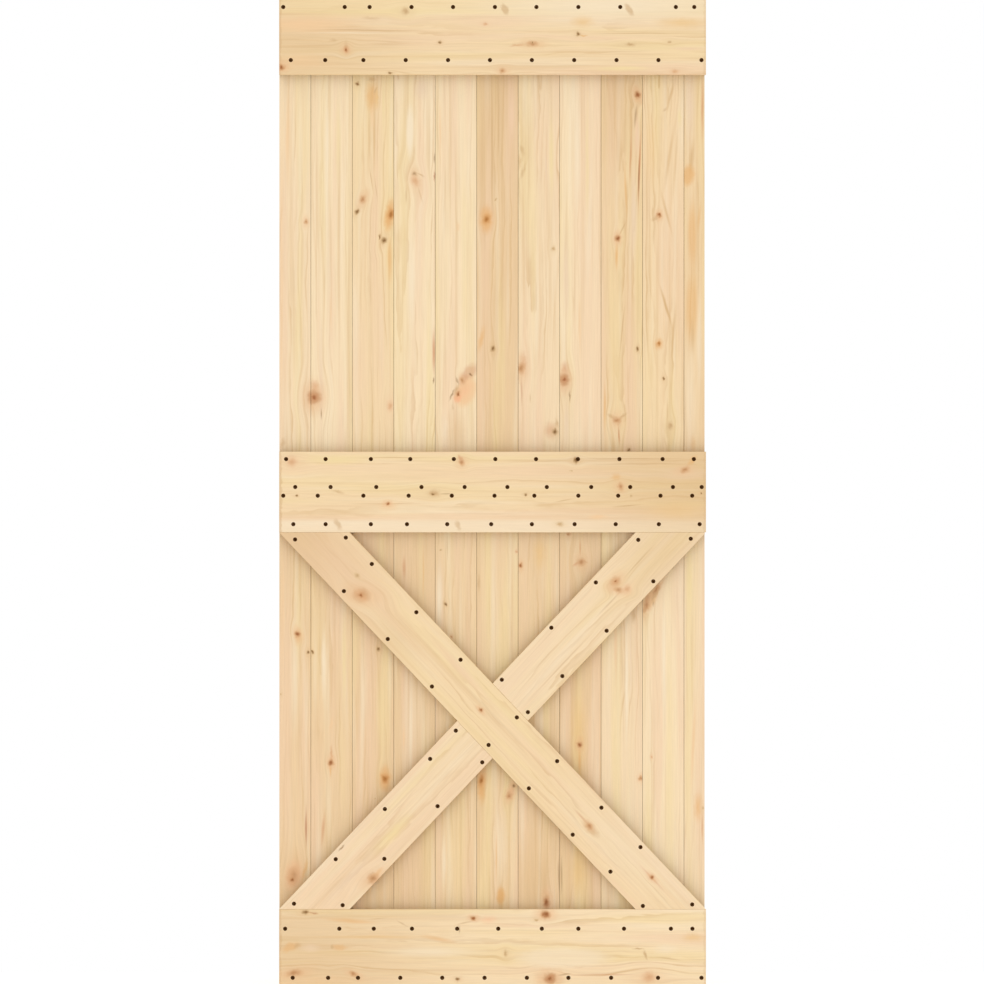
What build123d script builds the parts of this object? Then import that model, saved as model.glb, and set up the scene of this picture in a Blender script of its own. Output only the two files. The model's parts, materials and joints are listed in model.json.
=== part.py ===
"""A sliding barn door's leaf in solid pine.

Two sets of tongue and groove boards stand one above the other. Three rails cross them on the front, the
middle one over the line where the two sets meet, and an X of braces fills the lower field. Black
countersunk screws hold rails and braces to the boards.

X runs along the width, Z up the height, and the front faces -Y. The origin is at the middle of the base.
All sizes are in millimetres.
"""

import os
from math import asin, atan2, ceil, cos, hypot, pi, sin, tan

from build123d import *

# Leaf
DOOR_WIDTH = 900.0
DOOR_HEIGHT = 2100.0

# Boards. The first and the last are ripped to fit, and the panel stops a little short of the rails' ends.
BOARD_THICKNESS = 18.0
BOARD_PITCH = 87.5
FIRST_BOARD = 66.5
PANEL_SETBACK = 2.5
NARROWEST_BOARD = 20.0
TONGUE_LENGTH = 7.0
TONGUE_THICKNESS = 5.0
TONGUE_CLEARANCE = 0.2
BOARD_EASED_EDGE = 0.8
SEAM_GAP = 0.3

# Rails and braces
RAIL_THICKNESS = 18.0
RAIL_HEIGHT = 170.0
BRACE_WIDTH = 108.0
EASED_EDGE = 0.6
BUTT_GAP = 0.2

# Screws. Few sides keep so many of them light.
SCREW_SIDES = 6
SCREW_LENGTH = 30.0
HEAD_RADIUS = 4.0
HEAD_SINK = 0.3
SHANK_RADIUS = 2.0
TIP_LENGTH = 4.0
SCREW_CLEARANCE = 0.1
TIP_ROOM = 1.0

# Each row of a rail has one screw on each board: the row's distance from an edge of the rail, or from the
# line where the boards meet, and each screw's share of its board's width, from the left.
TOP_UPPER_INSET = 27.4
TOP_UPPER_ROW = (0.13, 0.82, 0.42, 0.43, 0.43, 0.44, 0.44, 0.45, 0.46, 0.80, 0.49)
TOP_LOWER_INSET = 30.7
TOP_LOWER_ROW = (0.37, 0.35, 0.27, 0.29, 0.31, 0.32, 0.33, 0.35, 0.37, 0.38, 0.84)
MIDDLE_UPPER_INSET = 15.6
MIDDLE_UPPER_ROW = (0.22, 0.36, 0.45, 0.40, 0.45, 0.45, 0.43, 0.44, 0.44, 0.48, 0.47)
ABOVE_JOINT = 10.5
ABOVE_JOINT_ROW = (0.51, 0.48, 0.58, 0.67, 0.71, 0.74, 0.69, 0.76, 0.70, 0.73, 0.85)
BELOW_JOINT = 7.8
BELOW_JOINT_ROW = (0.13, 0.17, 0.27, 0.36, 0.40, 0.43, 0.39, 0.45, 0.41, 0.43, 0.39)
MIDDLE_LOWER_INSET = 17.1
MIDDLE_LOWER_ROW = (0.45, 0.36, 0.45, 0.32, 0.29, 0.35, 0.33, 0.36, 0.35, 0.39, 0.75)
BOTTOM_UPPER_INSET = 40.8
BOTTOM_UPPER_ROW = (0.19, 0.69, 0.52, 0.44, 0.53, 0.52, 0.57, 0.45, 0.55, 0.68, 0.40)
BOTTOM_LOWER_INSET = 25.7
BOTTOM_LOWER_ROW = (0.43, 0.42, 0.14, 0.16, 0.17, 0.19, 0.21, 0.21, 0.24, 0.37, 0.84)

# Each brace screw: its share of the way down the field, and of the way across the brace from its lower edge.
# A third value ties a screw that stands at a seam between boards to that seam. It is the screw's distance to
# the right of the seam, as a share of a board's width.
LONG_LOWER_SCREWS = (
    (0.019, 0.13),
    (0.156, 0.13),
    (0.283, 0.11),
    (0.409, 0.10),
    (0.564, 0.12),
    (0.679, 0.11),
    (0.802, 0.11),
    (0.900, 0.15),
    (0.991, 0.15),
)
LONG_UPPER_SCREWS = (
    (0.014, 0.875),
    (0.084, 0.89),
    (0.212, 0.875),
    (0.338, 0.865),
    (0.491, 0.89),
    (0.607, 0.875),
    (0.730, 0.88, 0.006),
    (0.835, 0.905),
    (0.987, 0.87),
)
UPPER_HALF_LOWER_SCREWS = ((0.017, 0.13), (0.130, 0.09), (0.261, 0.09), (0.381, 0.11, 0.064), (0.477, 0.115))
UPPER_HALF_UPPER_SCREWS = ((0.020, 0.86), (0.133, 0.89), (0.253, 0.915), (0.391, 0.92))
LOWER_HALF_LOWER_SCREWS = ((0.610, 0.09), (0.726, 0.135, 0.058), (0.866, 0.185), (0.989, 0.155))
LOWER_HALF_UPPER_SCREWS = ((0.526, 0.89), (0.601, 0.875), (0.734, 0.845), (0.867, 0.87), (0.985, 0.865))

# Places that follow from the sizes
left_edge = -DOOR_WIDTH / 2
panel_width = DOOR_WIDTH - PANEL_SETBACK
joint_height = DOOR_HEIGHT / 2
top_rail_foot = DOOR_HEIGHT - RAIL_HEIGHT
middle_rail_foot = joint_height - RAIL_HEIGHT / 2
middle_rail_head = middle_rail_foot + RAIL_HEIGHT

# The plane where the boards' front meets the backs of rails and braces, and the leaf's front. Their own X
# is the leaf's X, and their own Y its Z.
panel_face = Plane.XZ.offset((BOARD_THICKNESS - RAIL_THICKNESS) / 2)
leaf_front = panel_face.offset(RAIL_THICKNESS)

# Braces: a diagonal strip whose ends are cut level between two rails
field_height = middle_rail_foot - RAIL_HEIGHT
brace_angle = atan2(field_height, DOOR_WIDTH) + asin(BRACE_WIDTH / hypot(field_height, DOOR_WIDTH))
brace_end = BRACE_WIDTH / sin(brace_angle)

# Screws: the head's sides slope at 45 degrees
flat_share = cos(pi / SCREW_SIDES)
head_depth = (HEAD_RADIUS - SHANK_RADIUS) * flat_share
hole_radius = SHANK_RADIUS + SCREW_CLEARANCE
sink_radius = HEAD_RADIUS + SCREW_CLEARANCE + HEAD_SINK / flat_share
sink_depth = (sink_radius - hole_radius) * flat_share
pilot_depth = HEAD_SINK + SCREW_LENGTH - RAIL_THICKNESS + TIP_ROOM


def flat_sided(profile):
    """A slim form along Z with flat sides. Its silhouette, given as radii to its corners and heights from
    the top down, is cut out in turn from each pair of sides."""
    right = [(radius * flat_share, height) for radius, height in profile]
    left = [(-x, height) for x, height in reversed(right) if x > 0]
    with BuildPart() as form:
        for turn in range(SCREW_SIDES // 2):
            with BuildSketch(Plane.XZ.rotated((0, 0, turn * 360 / SCREW_SIDES))):
                Polygon(*right, *left, align=None)
            extrude(amount=HEAD_RADIUS * 2, both=True, mode=Mode.INTERSECT if turn else Mode.ADD)
    return form.part


# A screw from its head's top down to its point, and the holes that it needs. Height 0 is the front of the
# rail or brace, and for the pilot hole the front of the board.
screw = flat_sided(
    (
        (HEAD_RADIUS, -HEAD_SINK),
        (SHANK_RADIUS, -HEAD_SINK - head_depth),
        (SHANK_RADIUS, -HEAD_SINK - SCREW_LENGTH + TIP_LENGTH),
        (0, -HEAD_SINK - SCREW_LENGTH),
    )
)
sink_hole = flat_sided(((sink_radius, 0), (hole_radius, -sink_depth), (hole_radius, -RAIL_THICKNESS)))
pilot_hole = flat_sided(((hole_radius, 0), (hole_radius, -pilot_depth)))


def on_plane(plane, places):
    """Locations on a plane that point a screw or a hole into the wood there."""
    return [plane.location * Location((x, height, 0)) for x, height in places]


def board_edges():
    """The left and right edge of each board's share of the panel, from the left edge of the leaf."""
    full_boards = ceil((panel_width - FIRST_BOARD - NARROWEST_BOARD) / BOARD_PITCH) - 1
    seams = [FIRST_BOARD + BOARD_PITCH * i for i in range(full_boards + 1)]
    edges = [0.0, *seams, panel_width]
    return [(left_edge + a, left_edge + b) for a, b in zip(edges, edges[1:])]


def rail_row(height, shares):
    """A row's screw places, one on each board. With more boards the inner shares are used again."""
    boards = board_edges()
    last = len(boards) - 1
    picked = [shares[i % (len(shares) - 1)] if i < last else shares[-1] for i in range(len(boards))]
    return [(left + share * (right - left), height) for share, (left, right) in zip(picked, boards)]


def nearest_seam(x):
    """The seam between two boards that lies nearest to a place on the panel."""
    seams = [left for left, _ in board_edges()[1:]]
    return min(seams, key=lambda seam: abs(seam - x))


def brace_row(screws, side):
    """Places along one edge of a brace. Side is 1 for the long brace and -1 for its mirror image."""
    places = []
    for down, across, *beside_seam in screws:
        start = left_edge + across * brace_end
        x = side * (start + down * field_height / tan(brace_angle))
        if beside_seam:
            x = nearest_seam(x) + beside_seam[0] * BOARD_PITCH
        places.append((x, middle_rail_foot - (side * x - start) * tan(brace_angle)))
    return places


def strip_corners(side, spread=0.0):
    """The corners of a brace's strip across the lower field, made wider by spread on each edge."""
    more = spread / sin(brace_angle)
    top = middle_rail_foot - BUTT_GAP
    foot = RAIL_HEIGHT + BUTT_GAP
    return [
        (side * (left_edge - more), top),
        (side * (left_edge + brace_end + more), top),
        (side * (-left_edge + more), foot),
        (side * (-left_edge - brace_end - more), foot),
    ]


def make_board(name, left, right, foot, height, screws):
    """One upright board: plain where it ends the panel, else grooved at the left and tongued at the right."""
    grooved = left > left_edge
    tongued = right < left_edge + panel_width
    face_left = left + SEAM_GAP / 2 if grooved else left
    face_right = right - SEAM_GAP / 2 if tongued else right
    groove_depth = TONGUE_LENGTH - SEAM_GAP + TONGUE_CLEARANCE
    reach = hole_radius + (TONGUE_LENGTH if tongued else 0)
    pilots = [p for p in screws if face_left - hole_radius < p[0] < face_right + reach]
    middle = panel_face.offset(-BOARD_THICKNESS / 2).origin.Y
    with BuildPart() as board:
        with BuildSketch(Plane.XY.offset(foot)) as section:
            with Locations(((face_left + face_right) / 2, middle)):
                Rectangle(face_right - face_left, BOARD_THICKNESS)
            chamfer(section.vertices(), BOARD_EASED_EDGE)
            if tongued:
                with Locations((face_right, middle)):
                    Rectangle(TONGUE_LENGTH, TONGUE_THICKNESS, align=(Align.MIN, Align.CENTER))
            if grooved:
                with Locations((face_left, middle)):
                    Rectangle(
                        groove_depth,
                        TONGUE_THICKNESS + 2 * TONGUE_CLEARANCE,
                        align=(Align.MIN, Align.CENTER),
                        mode=Mode.SUBTRACT,
                    )
        extrude(amount=height)
        with Locations(on_plane(panel_face, pilots)):
            add(pilot_hole, mode=Mode.SUBTRACT)
    board.part.label = name
    return board.part


def make_rail(name, foot, screws):
    """One rail across the whole width, its front edges eased."""
    with BuildPart() as rail:
        with BuildSketch(panel_face):
            with Locations((0, foot)):
                Rectangle(DOOR_WIDTH, RAIL_HEIGHT, align=(Align.CENTER, Align.MIN))
        extrude(amount=RAIL_THICKNESS)
        chamfer(rail.faces().sort_by(Axis.Y)[0].edges(), EASED_EDGE)
        with Locations(on_plane(leaf_front, screws)):
            add(sink_hole, mode=Mode.SUBTRACT)
    rail.part.label = name
    return rail.part


def make_brace(name, side, foot, head, screws):
    """The part of a diagonal strip between two heights, cut level at the rails and plumb at the panel's
    edge. The mirrored one gives way to the long brace."""
    with BuildPart() as brace:
        with BuildSketch(panel_face):
            Polygon(*strip_corners(side), align=None)
            if side < 0:
                Polygon(*strip_corners(-side, spread=BUTT_GAP), align=None, mode=Mode.SUBTRACT)
            with Locations((left_edge, foot)):
                Rectangle(panel_width, head - foot, align=Align.MIN, mode=Mode.INTERSECT)
        extrude(amount=RAIL_THICKNESS)
        chamfer(brace.faces().sort_by(Axis.Y)[0].edges(), EASED_EDGE)
        with Locations(on_plane(leaf_front, screws)):
            add(sink_hole, mode=Mode.SUBTRACT)
    brace.part.label = name
    return brace.part


def make_screws(name, places):
    """A group of screws, each a solid of its own."""
    with BuildPart() as screws:
        with Locations(on_plane(leaf_front, places)):
            add(screw)
    screws.part.label = name
    return screws.part


# Screw places, sorted by the piece that they hold
top_screws = [
    *rail_row(DOOR_HEIGHT - TOP_UPPER_INSET, TOP_UPPER_ROW),
    *rail_row(top_rail_foot + TOP_LOWER_INSET, TOP_LOWER_ROW),
]
above_joint_screws = [
    *rail_row(middle_rail_head - MIDDLE_UPPER_INSET, MIDDLE_UPPER_ROW),
    *rail_row(joint_height + ABOVE_JOINT, ABOVE_JOINT_ROW),
]
below_joint_screws = [
    *rail_row(joint_height - BELOW_JOINT, BELOW_JOINT_ROW),
    *rail_row(middle_rail_foot + MIDDLE_LOWER_INSET, MIDDLE_LOWER_ROW),
]
bottom_screws = [
    *rail_row(RAIL_HEIGHT - BOTTOM_UPPER_INSET, BOTTOM_UPPER_ROW),
    *rail_row(BOTTOM_LOWER_INSET, BOTTOM_LOWER_ROW),
]
long_screws = [*brace_row(LONG_LOWER_SCREWS, 1), *brace_row(LONG_UPPER_SCREWS, 1)]
upper_half_screws = [*brace_row(UPPER_HALF_LOWER_SCREWS, -1), *brace_row(UPPER_HALF_UPPER_SCREWS, -1)]
lower_half_screws = [*brace_row(LOWER_HALF_LOWER_SCREWS, -1), *brace_row(LOWER_HALF_UPPER_SCREWS, -1)]
upper_board_screws = top_screws + above_joint_screws
lower_board_screws = below_joint_screws + bottom_screws + long_screws + upper_half_screws + lower_half_screws

# Boards
pieces = []
board_height = joint_height - SEAM_GAP / 2
for number, (left, right) in enumerate(board_edges(), start=1):
    for half, foot, screws in (
        ("upper", DOOR_HEIGHT - board_height, upper_board_screws),
        ("lower", 0.0, lower_board_screws),
    ):
        pieces.append(make_board(f"{half}_board_{number:02d}", left, right, foot, board_height, screws))

# Rails
middle_screws = above_joint_screws + below_joint_screws
pieces.append(make_rail("top_rail", top_rail_foot, top_screws))
pieces.append(make_rail("middle_rail", middle_rail_foot, middle_screws))
pieces.append(make_rail("bottom_rail", 0.0, bottom_screws))

# Braces. The long one crosses the mirrored strip at the middle of the field.
crossing_height = (middle_rail_foot + RAIL_HEIGHT) / 2
pieces.append(make_brace("long_brace", 1, RAIL_HEIGHT, middle_rail_foot, long_screws))
pieces.append(make_brace("upper_half_brace", -1, crossing_height, middle_rail_foot, upper_half_screws))
pieces.append(make_brace("lower_half_brace", -1, RAIL_HEIGHT, crossing_height, lower_half_screws))

# Screws, in one group for each piece that they hold
pieces.append(make_screws("top_rail_screws", top_screws))
pieces.append(make_screws("middle_rail_screws", middle_screws))
pieces.append(make_screws("bottom_rail_screws", bottom_screws))
pieces.append(make_screws("long_brace_screws", long_screws))
pieces.append(make_screws("upper_half_brace_screws", upper_half_screws))
pieces.append(make_screws("lower_half_brace_screws", lower_half_screws))

os.makedirs("parts", exist_ok=True)
for piece in pieces:
    export_step(piece, f"parts/{piece.label}.step")
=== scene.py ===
"""The looks of a sliding barn door's leaf in solid pine.

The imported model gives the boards, rails and braces. This script gives each of them its own wood, with rings,
knots and stains where they belong, makes the black countersunk screws, and sets the light and the camera.

Places on the wood are in millimetres, from the leaf's left edge and above its base. Meshes, lights and the
camera are in metres.
"""

from __future__ import annotations

import json
import logging
import math
from collections.abc import Iterable
from dataclasses import dataclass, field
from enum import Enum
from itertools import chain

import bpy
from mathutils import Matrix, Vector

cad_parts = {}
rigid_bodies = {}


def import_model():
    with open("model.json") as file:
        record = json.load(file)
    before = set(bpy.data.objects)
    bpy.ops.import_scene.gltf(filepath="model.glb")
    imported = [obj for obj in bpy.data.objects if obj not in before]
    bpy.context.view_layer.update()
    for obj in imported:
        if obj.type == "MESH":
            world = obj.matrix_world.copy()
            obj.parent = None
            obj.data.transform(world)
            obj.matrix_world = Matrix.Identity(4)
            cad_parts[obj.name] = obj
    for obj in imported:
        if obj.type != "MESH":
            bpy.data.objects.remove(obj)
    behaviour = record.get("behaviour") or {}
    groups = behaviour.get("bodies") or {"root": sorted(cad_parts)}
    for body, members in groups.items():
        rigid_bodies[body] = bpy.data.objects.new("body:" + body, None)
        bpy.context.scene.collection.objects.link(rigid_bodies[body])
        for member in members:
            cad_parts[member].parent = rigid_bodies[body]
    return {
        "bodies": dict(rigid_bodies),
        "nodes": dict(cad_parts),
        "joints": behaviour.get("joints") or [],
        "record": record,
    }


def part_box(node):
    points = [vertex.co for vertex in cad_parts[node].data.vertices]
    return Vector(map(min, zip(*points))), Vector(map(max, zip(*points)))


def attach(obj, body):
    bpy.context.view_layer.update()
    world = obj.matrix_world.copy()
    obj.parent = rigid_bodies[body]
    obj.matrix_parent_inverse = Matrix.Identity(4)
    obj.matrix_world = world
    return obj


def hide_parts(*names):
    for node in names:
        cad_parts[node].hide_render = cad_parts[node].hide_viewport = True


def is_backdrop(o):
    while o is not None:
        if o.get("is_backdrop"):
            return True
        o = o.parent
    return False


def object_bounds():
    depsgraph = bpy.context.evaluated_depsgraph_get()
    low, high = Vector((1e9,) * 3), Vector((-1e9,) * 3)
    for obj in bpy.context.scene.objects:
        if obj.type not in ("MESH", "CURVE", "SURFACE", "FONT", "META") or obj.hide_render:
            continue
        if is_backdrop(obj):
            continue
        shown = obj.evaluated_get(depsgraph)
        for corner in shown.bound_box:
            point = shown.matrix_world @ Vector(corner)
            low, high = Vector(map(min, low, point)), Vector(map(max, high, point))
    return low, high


log = logging.getLogger("barn_door")

MILLIMETRE = 0.001
SHEEN = 0.035
BRACE_WIDTH = 108.0 * MILLIMETRE
FIBRE_RANGE = (0.2, 0.8)

Colour = tuple[float, float, float, float]
Triple = tuple[float, float, float]


def srgb(red: int, green: int, blue: int) -> Colour:
    """Turns a screen colour into a linear one.

    Args:
        red: Red, from 0 to 255.
        green: Green, from 0 to 255.
        blue: Blue, from 0 to 255.

    Returns:
        The linear colour with full opacity.
    """
    parts = (value / 255 for value in (red, green, blue))
    linear = [p / 12.92 if p <= 0.04045 else ((p + 0.055) / 1.055) ** 2.4 for p in parts]
    return (*linear, 1.0)


def wood(red: int, green: int, blue: int) -> Colour:
    """Gives the wood's own colour for a tone as it shows in white light, less the surface's sheen."""
    return (*(max(0.0, (part - SHEEN) / (1 - SHEEN)) for part in srgb(red, green, blue)[:3]), 1.0)


class Tone(Enum):
    """Ground tones of planed pine."""

    CREAM = wood(246, 222, 184)
    PALE = wood(243, 217, 179)
    STRAW = wood(242, 214, 172)
    HONEY = wood(238, 208, 165)
    AMBER = wood(236, 205, 163)
    TOAST = wood(234, 202, 159)


class Tint(Enum):
    """Colours of stains, flames and streaks in the wood, and the tint of painted shade."""

    LATEWOOD = wood(214, 176, 126)
    ROSE = wood(240, 206, 172)
    LEMON = wood(241, 217, 163)
    MILK = wood(246, 227, 196)
    # SHADE tints the shade painted into the boards' colour beside the rails and braces; it is no stain in the
    # wood.
    SHADE = (0.0, 0.08, 0.08, 1.0)
    AMBER = wood(235, 195, 135)
    FLAME = wood(229, 176, 112)
    RUST = wood(205, 140, 98)
    BRICK = wood(178, 104, 70)
    TAN = wood(205, 168, 122)
    UMBER = wood(150, 112, 74)
    LILAC = wood(236, 209, 178)
    APRICOT = wood(241, 203, 158)
    CORAL = wood(246, 180, 138)

    def at(self, *marks: tuple[float, ...]) -> tuple[Stain, ...]:
        """Gives stains of this colour, each by its place, size, cover, turn and blur."""
        return tuple(Stain(self, *mark) for mark in marks)


@dataclass(frozen=True)
class KnotColours:
    """A knot's colours, from its heart outwards, and how far they cover the wood.

    Attributes:
        heart: The colour in the middle.
        rim: The colour of the rest of the knot.
        glow: The colour of the wood around it.
        cover: How far the knot hides the wood, from 0 to 1.
        halo: How far the glow tints the wood, from 0 to 1.
        ring: How far the knot is paler between its rim and a small heart, from 0 to 1.
    """

    heart: Colour
    rim: Colour
    glow: Colour
    cover: float
    halo: float
    ring: float = 0.0


class KnotLook(Enum):
    """Kinds of knot."""

    PIN = KnotColours(wood(122, 88, 48), wood(168, 130, 82), wood(222, 184, 138), 0.8, 0.45)
    RED = KnotColours(wood(148, 90, 44), wood(192, 136, 88), wood(230, 180, 134), 0.85, 0.65)
    SOUND = KnotColours(wood(156, 92, 54), wood(186, 128, 84), wood(226, 176, 130), 0.85, 0.7, 0.7)
    TAWNY = KnotColours(wood(184, 132, 86), wood(208, 158, 112), wood(232, 190, 146), 0.75, 0.65, 0.3)
    FLAMED = KnotColours(wood(170, 110, 54), wood(206, 146, 86), wood(230, 178, 120), 0.85, 0.85, 0.2)
    ROSY = KnotColours(wood(216, 166, 122), wood(228, 184, 142), wood(238, 202, 162), 0.65, 0.5)
    FAINT = KnotColours(wood(196, 158, 112), wood(214, 180, 134), wood(232, 202, 158), 0.65, 0.4)

    def at(self, *marks: tuple[float, ...]) -> tuple[Knot, ...]:
        """Gives knots of this kind, each by its place, size and turn."""
        return tuple(Knot(self, *mark) for mark in marks)


@dataclass(frozen=True)
class Mark:
    """Something that grew in the wood and shows on the face.

    Attributes:
        kind: Its colour, or its kind of knot.
        x: Distance of its middle from the leaf's left edge.
        z: Height of its middle above the leaf's base.
        length: Its size along the grain.
        width: Its size across the grain.
    """

    kind: Tint | KnotLook
    x: float
    z: float
    length: float
    width: float


@dataclass(frozen=True)
class Knot(Mark):
    """A knot.

    Attributes:
        turn: Degrees by which its length leans clockwise from the grain.
    """

    turn: float = 0.0


@dataclass(frozen=True)
class Stain(Mark):
    """A long soft patch or streak of another colour.

    Attributes:
        cover: How far it hides the wood, from 0 to 1.
        turn: Degrees by which its length leans clockwise from the grain.
        blur: The share of its size over which it fades out.
    """

    cover: float = 0.5
    turn: float = 0.0
    blur: float = 1.0


@dataclass(frozen=True)
class Figure:
    """How a piece was cut from its log.

    Attributes:
        depth: How far behind the face the log's middle ran.
        aside: How far it ran beside the piece's middle, across the grain.
        lean: How much it came nearer for each unit of length.
        spacing: The width of a year's ring.
        contrast: How strongly the dark part of a ring shows.
        hue: How strongly the wood's colour varies from streak to streak.
    """

    depth: float = 70.0
    aside: float = 60.0
    lean: float = 0.01
    spacing: float = 6.5
    contrast: float = 0.55
    hue: float = 1.0


@dataclass(frozen=True)
class PineFinish:
    """The wood of one piece: its tone, its cut, and the marks in it, from the lowest to the topmost."""

    tone: Tone
    figure: Figure
    marks: tuple[Mark, ...]


def pine(tone: Tone, figure: Figure, *groups: tuple[Mark, ...]) -> PineFinish:
    """Describes a piece's wood by its tone, its cut and groups of marks, with the knots after the stains."""
    return PineFinish(tone, figure, tuple(chain.from_iterable(groups)))


class Tree:
    """A node tree under construction, with short calls for the nodes that the finishes use."""

    NOISE_ROUGHNESS = 0.55

    def __init__(self, tree: bpy.types.NodeTree) -> None:
        """Takes over an empty node tree."""
        self.tree = tree

    def feed(self, socket: bpy.types.NodeSocket, value: object) -> None:
        """Gives an input its value, or links it if the value is another node's output.

        Args:
            socket: The input.
            value: Its value, or the output that it is linked to.
        """
        if isinstance(value, bpy.types.NodeSocket):
            self.tree.links.new(value, socket)
        else:
            socket.default_value = value

    def add(
        self, kind: str, inputs: dict[str | int, object] | None = None, **settings: object
    ) -> bpy.types.Node:
        """Adds a node.

        Args:
            kind: The node's type.
            inputs: Values or outputs for its inputs, by name or number.
            settings: The node's own settings.

        Returns:
            The node.
        """
        node = self.tree.nodes.new(kind)
        for name, value in settings.items():
            setattr(node, name, value)
        for key, value in (inputs or {}).items():
            self.feed(node.inputs[key], value)
        return node

    def group(self, tree: bpy.types.NodeTree, inputs: dict[str, object]) -> bpy.types.Node:
        """Adds a node group and returns its node."""
        return self.add("ShaderNodeGroup", inputs, node_tree=tree)

    def math(self, operation: str, *values: object) -> bpy.types.NodeSocket:
        """Adds a sum on numbers and returns its result."""
        return self.add("ShaderNodeMath", dict(enumerate(values)), operation=operation).outputs[0]

    def vector(self, operation: str, *values: object) -> bpy.types.NodeSocket:
        """Adds a sum on vectors and returns its result."""
        node = self.add("ShaderNodeVectorMath", dict(enumerate(values)), operation=operation)
        return node.outputs["Value" if operation == "LENGTH" else "Vector"]

    def scale(self, vector: object, factor: object) -> bpy.types.NodeSocket:
        """Adds a vector times a number and returns its result."""
        inputs = {0: vector, "Scale": factor}
        return self.add("ShaderNodeVectorMath", inputs, operation="SCALE").outputs["Vector"]

    def ramp(
        self, value: object, start: object, end: object, low: float = 0.0, high: object = 1.0
    ) -> bpy.types.NodeSocket:
        """Adds a smooth step from low to high, as a value goes from start to end, and returns its result."""
        inputs = {"Value": value, "From Min": start, "From Max": end, "To Min": low, "To Max": high}
        return self.add("ShaderNodeMapRange", inputs, interpolation_type="SMOOTHSTEP").outputs[0]

    def blend(self, share: object, first: object, second: object, kind: str = "MIX") -> bpy.types.NodeSocket:
        """Adds a mix of two colours and returns its result."""
        inputs = {0: share, 6: first, 7: second}
        return self.add("ShaderNodeMix", inputs, data_type="RGBA", blend_type=kind).outputs[2]

    def noise(self, place: object, detail: float) -> bpy.types.NodeSocket:
        """Adds noise of unit grain at a place and returns its value."""
        inputs = {"Vector": place, "Scale": 1.0, "Detail": detail, "Roughness": self.NOISE_ROUGHNESS}
        return self.add("ShaderNodeTexNoise", inputs).outputs[0]

    def surface(self, height: object, strength: float, depth: float, inputs: dict[str, object]) -> None:
        """Adds the material's surface.

        Args:
            height: The height of its relief, from 0 to about 1.
            strength: How strongly the relief shows.
            depth: How deep it is, in metres.
            inputs: The shader's other inputs.
        """
        bump = self.add("ShaderNodeBump", {"Height": height, "Strength": strength, "Distance": depth})
        shader = self.add("ShaderNodeBsdfPrincipled", {**inputs, "Normal": bump.outputs[0]})
        self.add("ShaderNodeOutputMaterial", {"Surface": shader.outputs[0]})


def start_material(name: str) -> tuple[bpy.types.Material, Tree]:
    """Makes a material with an empty node tree.

    Args:
        name: The material's name.

    Returns:
        The material, and its tree.
    """
    material = bpy.data.materials.new(name)
    material.use_nodes = True
    material.node_tree.nodes.clear()
    return material, Tree(material.node_tree)


def start_group(
    name: str, inputs: dict[str, str], outputs: dict[str, str]
) -> tuple[Tree, dict[str, bpy.types.NodeSocket], bpy.types.Node]:
    """Starts a shader node group.

    Args:
        name: The group's name.
        inputs: Its inputs, each a name and a kind such as Float, Vector or Color.
        outputs: Its outputs, in the same form.

    Returns:
        The group's tree, its input sockets by name, and the node that takes its results.
    """
    group = bpy.data.node_groups.new(name, "ShaderNodeTree")
    for direction, sockets in (("INPUT", inputs), ("OUTPUT", outputs)):
        for label, kind in sockets.items():
            group.interface.new_socket(label, in_out=direction, socket_type=f"NodeSocket{kind}")
    tree = Tree(group)
    entry = tree.add("NodeGroupInput")
    return tree, {label: entry.outputs[label] for label in inputs}, tree.add("NodeGroupOutput")


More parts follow.
